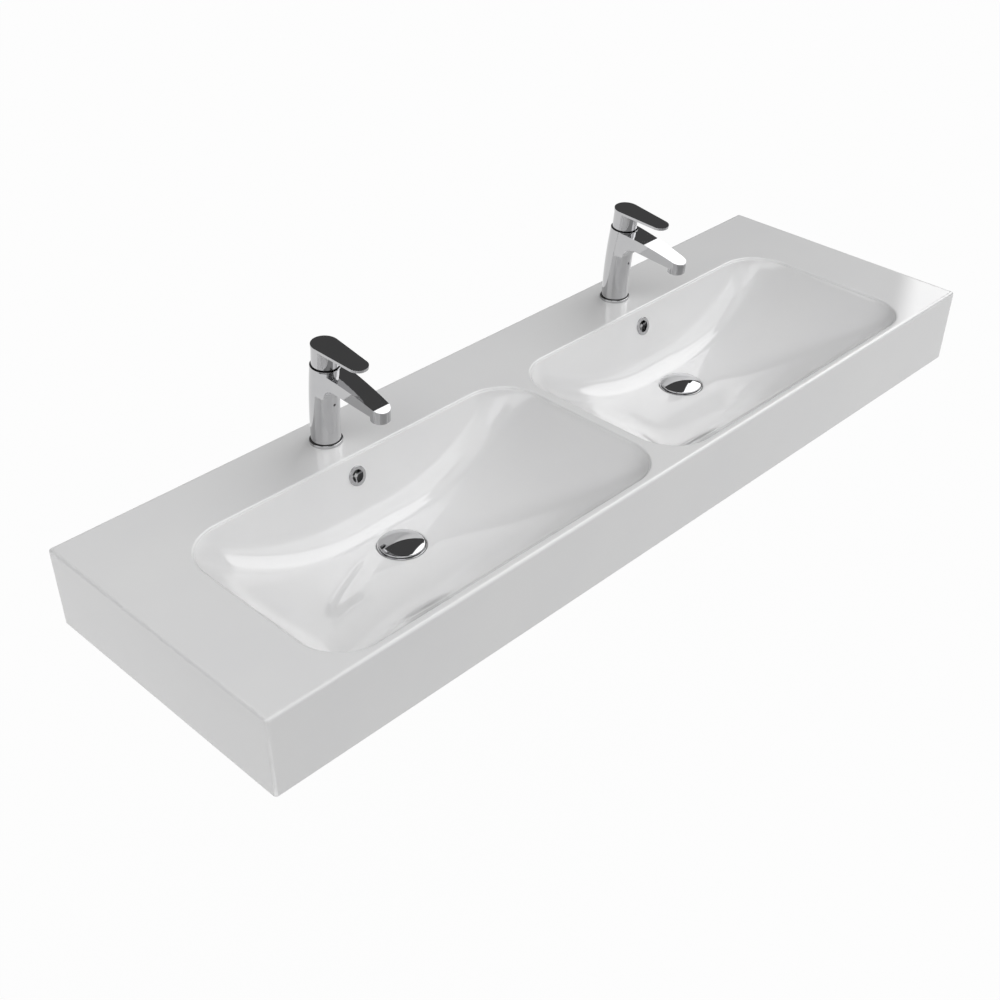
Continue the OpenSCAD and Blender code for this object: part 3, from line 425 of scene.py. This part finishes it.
def basin_shell():
    """Skin of the basin, open below: a box with rounded edges, flat sides with their holes, and the two bowls."""
    bm = bmesh.new()
    middle = Matrix.Translation((0, -BASIN_D / 2, (DECK_Z + FOOT_Z) / 2))
    bmesh.ops.create_cube(bm, size=1.0, matrix=middle @ Matrix.Diagonal((BASIN_W, BASIN_D, BASIN_H, 1)))
    under = [f for f in bm.faces if f.normal.z < -0.9]
    bmesh.ops.delete(bm, geom=under, context="FACES")
    outer = [e for e in bm.edges if not e.is_boundary]
    bmesh.ops.bevel(bm, geom=outer, offset=EDGE_ROUND, offset_type="OFFSET", segments=EDGE_STEPS, profile=0.5,
                    affect="EDGES", material=-1, clamp_overlap=True)
    for f in bm.faces:
        f.smooth = True
    wide = [f for f in bm.faces if f.calc_area() > SIDE_AREA]
    bmesh.ops.inset_individual(bm, faces=wide, thickness=FLAT_INSET, depth=0, use_even_offset=True)
    for f in wide:
        f.smooth = False
    deck = max(wide, key=lambda f: f.normal.z)
    back = max(wide, key=lambda f: f.normal.y)
    flip = Matrix.Rotation(math.pi / 2, 4, "X")
    bolts = [edge for side in SIDES.values() for x in (-FIX_X, FIX_X)
             for edge in circle_loop(bm, (side * BOWL_X + x, 0, 0), FIX_R, flip, 32)]
    fill_flat(bm, back, bolts, Vector((0, 1, 0)))
    openings = []
    flat_faces = {f for f in bm.faces if not f.smooth}
    for side in SIDES.values():
        rim = sink_bowl(bm, side)
        openings += loop_edges(bm, rim)
        openings += circle_loop(bm, (side * BOWL_X, TAP_Y, DECK_Z), TAP_HOLE_R, Matrix.Identity(4))
    for f in bm.faces:
        f.smooth = f not in flat_faces
    fill_flat(bm, deck, openings, Vector((0, 0, 1)))
    bmesh.ops.recalc_face_normals(bm, faces=bm.faces)
    piece = finish_mesh("basin_shell", bm, GLAZE, "root", ["basin"], smooth=False, repair=False)
    wall = piece.modifiers.new("wall", "SOLIDIFY")
    wall.thickness = SHELL
    wall.offset = -1
    wall.use_even_offset = True
    wall.use_quality_normals = True


def waste_boss(name, side):
    """Thick ring of ceramic under the bowl, which the waste's nut clamps."""
    bore = DRAIN_HOLE_R - BOSS_FIT
    ring = turned([(bore, -BOSS_T, 0.0006), (BOSS_R, -BOSS_T, 0.003), (BOSS_R, BOSS_TOP, 0), (bore, BOSS_TOP, 0)],
                  drain_place(side), 64)
    sharpen(finish_mesh(name + "_waste_boss", ring, GLAZE, "root"), 40)


def overflow_duct(name, side):
    """Channel that drops behind the bowl from the overflow and runs forward into the waste boss."""
    back, front = RIM_BACK_Y + DUCT_BACK, RIM_BACK_Y + DUCT_FRONT
    roof = FLOOR_Z - CHANNEL_ROOF
    low, turn, top = roof - CHANNEL_H, back - DUCT_CHAMFER, DECK_Z - OVER_DOWN + DUCT_OVER
    outer_high, outer_low, outer_run = DUCT_OUTER
    inner_high, inset, inner_run = DUCT_INNER
    corners = [(front, top), (back, top), (back, low + outer_high), (turn, low + outer_low),
               (turn - outer_run, low), (DRAIN_Y, low), (DRAIN_Y, roof), (turn - inner_run, roof),
               (front - inset, low + inner_high)]
    bm = bmesh.new()
    x = side * BOWL_X - CHANNEL_W / 2
    face = bm.faces.new([bm.verts.new((x, y, z)) for y, z in corners])
    made = bmesh.ops.extrude_face_region(bm, geom=[face])["geom"]
    bmesh.ops.translate(bm, vec=(CHANNEL_W, 0, 0), verts=[v for v in made if isinstance(v, bmesh.types.BMVert)])
    bmesh.ops.recalc_face_normals(bm, faces=bm.faces)
    upright = [f for f in bm.faces if abs(f.normal.x) < 0.1 and f.normal.y < -0.9]
    behind_bowl = [f for f in upright if f.calc_center_median().z > low + 0.03]
    bmesh.ops.delete(bm, geom=behind_bowl, context="FACES_ONLY")
    piece = finish_mesh(name + "_overflow_duct", bm, GLAZE, "root", smooth=False)
    wall = piece.modifiers.new("wall", "SOLIDIFY")
    wall.thickness = DUCT_WALL
    wall.offset = 1
    wall.use_even_offset = True


def fixing_bosses(name, side):
    """Rings of ceramic round the two bolt holes, inside the back wall."""
    for mark, x in (("outer", side * FIX_X), ("inner", -side * FIX_X)):
        place = Matrix.Translation((side * BOWL_X + x, 0, 0)) @ Matrix.Rotation(math.pi / 2, 4, "X")
        ring = turned([(FIX_R + FIX_FIT, FIX_START, 0), (FIX_BOSS_R, FIX_START, 0),
                       (FIX_BOSS_R, FIX_BOSS_DEEP, 0.002), (FIX_R + FIX_FIT, FIX_BOSS_DEEP, 0.0006)], place, 48)
        sharpen(finish_mesh(f"{name}_{mark}_fixing_boss", ring, GLAZE, "root"), 40)


basin_shell()
for name, side in SIDES.items():
    waste_boss(name, side)
    overflow_duct(name, side)
    fixing_bosses(name, side)


# Turned pieces of the tap and the waste

def tap_rings(name, side):
    """Chrome base ring on the deck, and the black seal under the tap's column."""
    deck = Matrix.Translation((side * BOWL_X, TAP_Y, DECK_Z))
    ring = turned([(BASE_IN_R, 0, 0), (BASE_R, 0, 0.0003), (BASE_R, BASE_H, 0.0012), (BASE_IN_R, BASE_H, 0)], deck)
    sharpen(finish_mesh(name + "_base_collar", ring, CHROME, "root", [name + "_base_ring"]), 35)
    seal = turned([(SEAL_IN_R, BASE_H, 0), (SEAL_R, BASE_H, 0.0002), (SEAL_R, SEAL_TOP, 0.0005),
                   (SEAL_IN_R, SEAL_TOP, 0)], deck)
    sharpen(finish_mesh(name + "_base_gasket", seal, RUBBER, "root", [name + "_base_seal"]), 35)


def waste_cap(name, side):
    """Domed cap: a thin edge and a top that is part of a large sphere."""
    dome = (CAP_R**2 + CAP_RISE**2) / (2 * CAP_RISE)
    edge = math.asin(CAP_R / dome)
    top = []
    for i in range(CAP_STEPS, 0, -1):
        a = edge * i / CAP_STEPS
        top.append((dome * math.sin(a), CAP_TOP - dome + dome * math.cos(a), 0.0009 if i == CAP_STEPS else 0))
    foot = [(0, CAP_FOOT, 0), (CAP_R - CAP_CHAMFER, CAP_FOOT, 0), (CAP_R, CAP_FOOT + CAP_CHAMFER, 0)]
    cap = turned(foot + top + [(0, CAP_TOP, 0)], drain_place(side), 128)
    sharpen(finish_mesh(name + "_cap_dome", cap, CHROME, name + "_cap", [name + "_waste_cap"]), 40)


for name, side in SIDES.items():
    tap_rings(name, side)
    waste_cap(name, side)


# Camera, floor and light

def place_camera():
    """Camera solved from the slab's edges in the photo."""
    lens = bpy.data.cameras.new("photo_view")
    lens.sensor_width = 36
    lens.lens = 49.844
    lens.shift_x = 0.02
    lens.shift_y = 0.10
    lens.clip_end = 50
    camera = bpy.data.objects.new("photo_view", lens)
    camera.location = (-1.37542, -1.42713, 1.14117)
    camera.rotation_euler = (math.radians(50.9352), 0, math.radians(-45.02))
    bpy.context.scene.collection.objects.link(camera)
    bpy.context.scene.camera = camera


def lay_floor():
    """Pale floor, as far below as under a basin on a wall, white to the eye except for the basin's shadow."""
    bm = bmesh.new()
    place = Matrix.Translation((0, 0, GROUND_Z))
    bmesh.ops.create_grid(bm, x_segments=1, y_segments=1, size=GROUND_HALF, matrix=place)
    mesh = bpy.data.meshes.new("floor")
    bm.to_mesh(mesh)
    bm.free()
    floor = bpy.data.objects.new("floor", mesh)
    bpy.context.scene.collection.objects.link(floor)
    material, tree, shader = new_material("pale_floor", Base_Color=(0.45, 0.45, 0.45, 1), Roughness=0.9)
    glow = tree.nodes.new("ShaderNodeEmission")
    glow.inputs["Strength"].default_value = 1.0
    blend = tree.nodes.new("ShaderNodeMixShader")
    amount = tree.nodes.new("ShaderNodeMath")
    amount.operation = "MULTIPLY"
    amount.inputs[1].default_value = GROUND_GLOW
    tree.links.new(seen_directly(tree), amount.inputs[0])
    link(tree, amount, "Value", blend, "Fac")
    tree.links.new(shader.outputs["BSDF"], blend.inputs[1])
    tree.links.new(glow.outputs["Emission"], blend.inputs[2])
    link(tree, blend, "Shader", tree.nodes["Material Output"], "Surface")
    mesh.materials.append(material)


def seen_directly(tree):
    """1 for rays from the camera, and for those that a mirror or clear piece passes on."""
    path = tree.nodes.new("ShaderNodeLightPath")
    total = path.outputs["Is Camera Ray"]
    for name in ("Is Glossy Ray", "Is Transmission Ray"):
        node = tree.nodes.new("ShaderNodeMath")
        node.operation = "MAXIMUM"
        tree.links.new(total, node.inputs[0])
        tree.links.new(path.outputs[name], node.inputs[1])
        total = node.outputs["Value"]
    return total


# Studio round the object: azimuth 0 lies along +Y and 90 along +X, elevation 90 is overhead.
# Each panel has the azimuth of its middle, half its width, its lowest and highest elevation, the softness of its
# edges, all in degrees, and its brightness. Where panels overlap, they add up.
PANELS = (
    ("ceiling", 0, 200, 76, 104, 6, 0.7),
    ("front_pane", -130, 24, 30, 74, 0.8, 1.75),
    ("left_pane", -79, 23, 18, 57, 0.8, 1.5),
    ("front_high", 180, 26, 30, 76, 6, 0.8),
    ("front_low", -160, 60, 0, 30, 8, 0.6),
    ("left_low", -62, 38, 0, 18, 6, 0.6),
    ("left_back_high", -40, 16, 18, 66, 6, 0.05),
    ("back", -10, 14, 0, 66, 6, 0.05),
    ("dark_back", 33.35, 28.85, 8, 66, 1.0, 0.09),
    ("window_low", 90.9, 27.3, 23.5, 34, 0.6, 2.4),
    ("window_high", 90.1, 28.1, 34, 68, 0.6, 2.4),
    ("right_low", 108, 46, 0, 16, 4, 0.1),
    ("side", 140, 18, 15, 66, 3, 1.25),
    ("below", 0, 200, -100, 0, 4, 0.1),
)


def light_world():
    world = bpy.data.worlds.new("studio")
    bpy.context.scene.world = world
    world.use_nodes = True
    tree = world.node_tree

    def math_node(operation, *values):
        node = tree.nodes.new("ShaderNodeMath")
        node.operation = operation
        for socket, value in zip(node.inputs, values):
            if isinstance(value, (int, float)):
                socket.default_value = value
            else:
                tree.links.new(value, socket)
        return node.outputs["Value"]

    def within(angle, half, soft):
        """1 where an angle lies within half, falling softly to 0 about there."""
        node = tree.nodes.new("ShaderNodeMapRange")
        node.interpolation_type = "SMOOTHSTEP"
        node.inputs["From Min"].default_value = math.radians(half + soft)
        node.inputs["From Max"].default_value = math.radians(half - soft)
        tree.links.new(math_node("ABSOLUTE", angle), node.inputs["Value"])
        return node.outputs["Result"]

    coords = tree.nodes.new("ShaderNodeTexCoord")
    way = tree.nodes.new("ShaderNodeSeparateXYZ")
    link(tree, coords, "Generated", way, "Vector")
    azimuth = math_node("ARCTAN2", way.outputs["X"], way.outputs["Y"])
    elevation = math_node("ARCSINE", way.outputs["Z"])
    tone = 0.0
    for _, middle, half, low, high, soft, strength in PANELS:
        turn = math_node("WRAP", math_node("SUBTRACT", azimuth, math.radians(middle)), math.pi, -math.pi)
        climb = math_node("SUBTRACT", elevation, math.radians((low + high) / 2))
        mask = math_node("MULTIPLY", within(turn, half, soft), within(climb, (high - low) / 2, soft))
        tone = math_node("MULTIPLY_ADD", mask, strength, tone)
    path = tree.nodes.new("ShaderNodeLightPath")
    final = tree.nodes.new("ShaderNodeMix")
    link(tree, path, "Is Camera Ray", final, "Factor")
    tree.links.new(tone, final.inputs["A"])
    final.inputs["B"].default_value = 1.0
    tree.nodes["Background"].inputs["Color"].default_value = (1, 1, 1, 1)
    link(tree, final, "Result", tree.nodes["Background"], "Strength")


bpy.context.scene.view_settings.view_transform = "Standard"
place_camera()
lay_floor()
light_world()
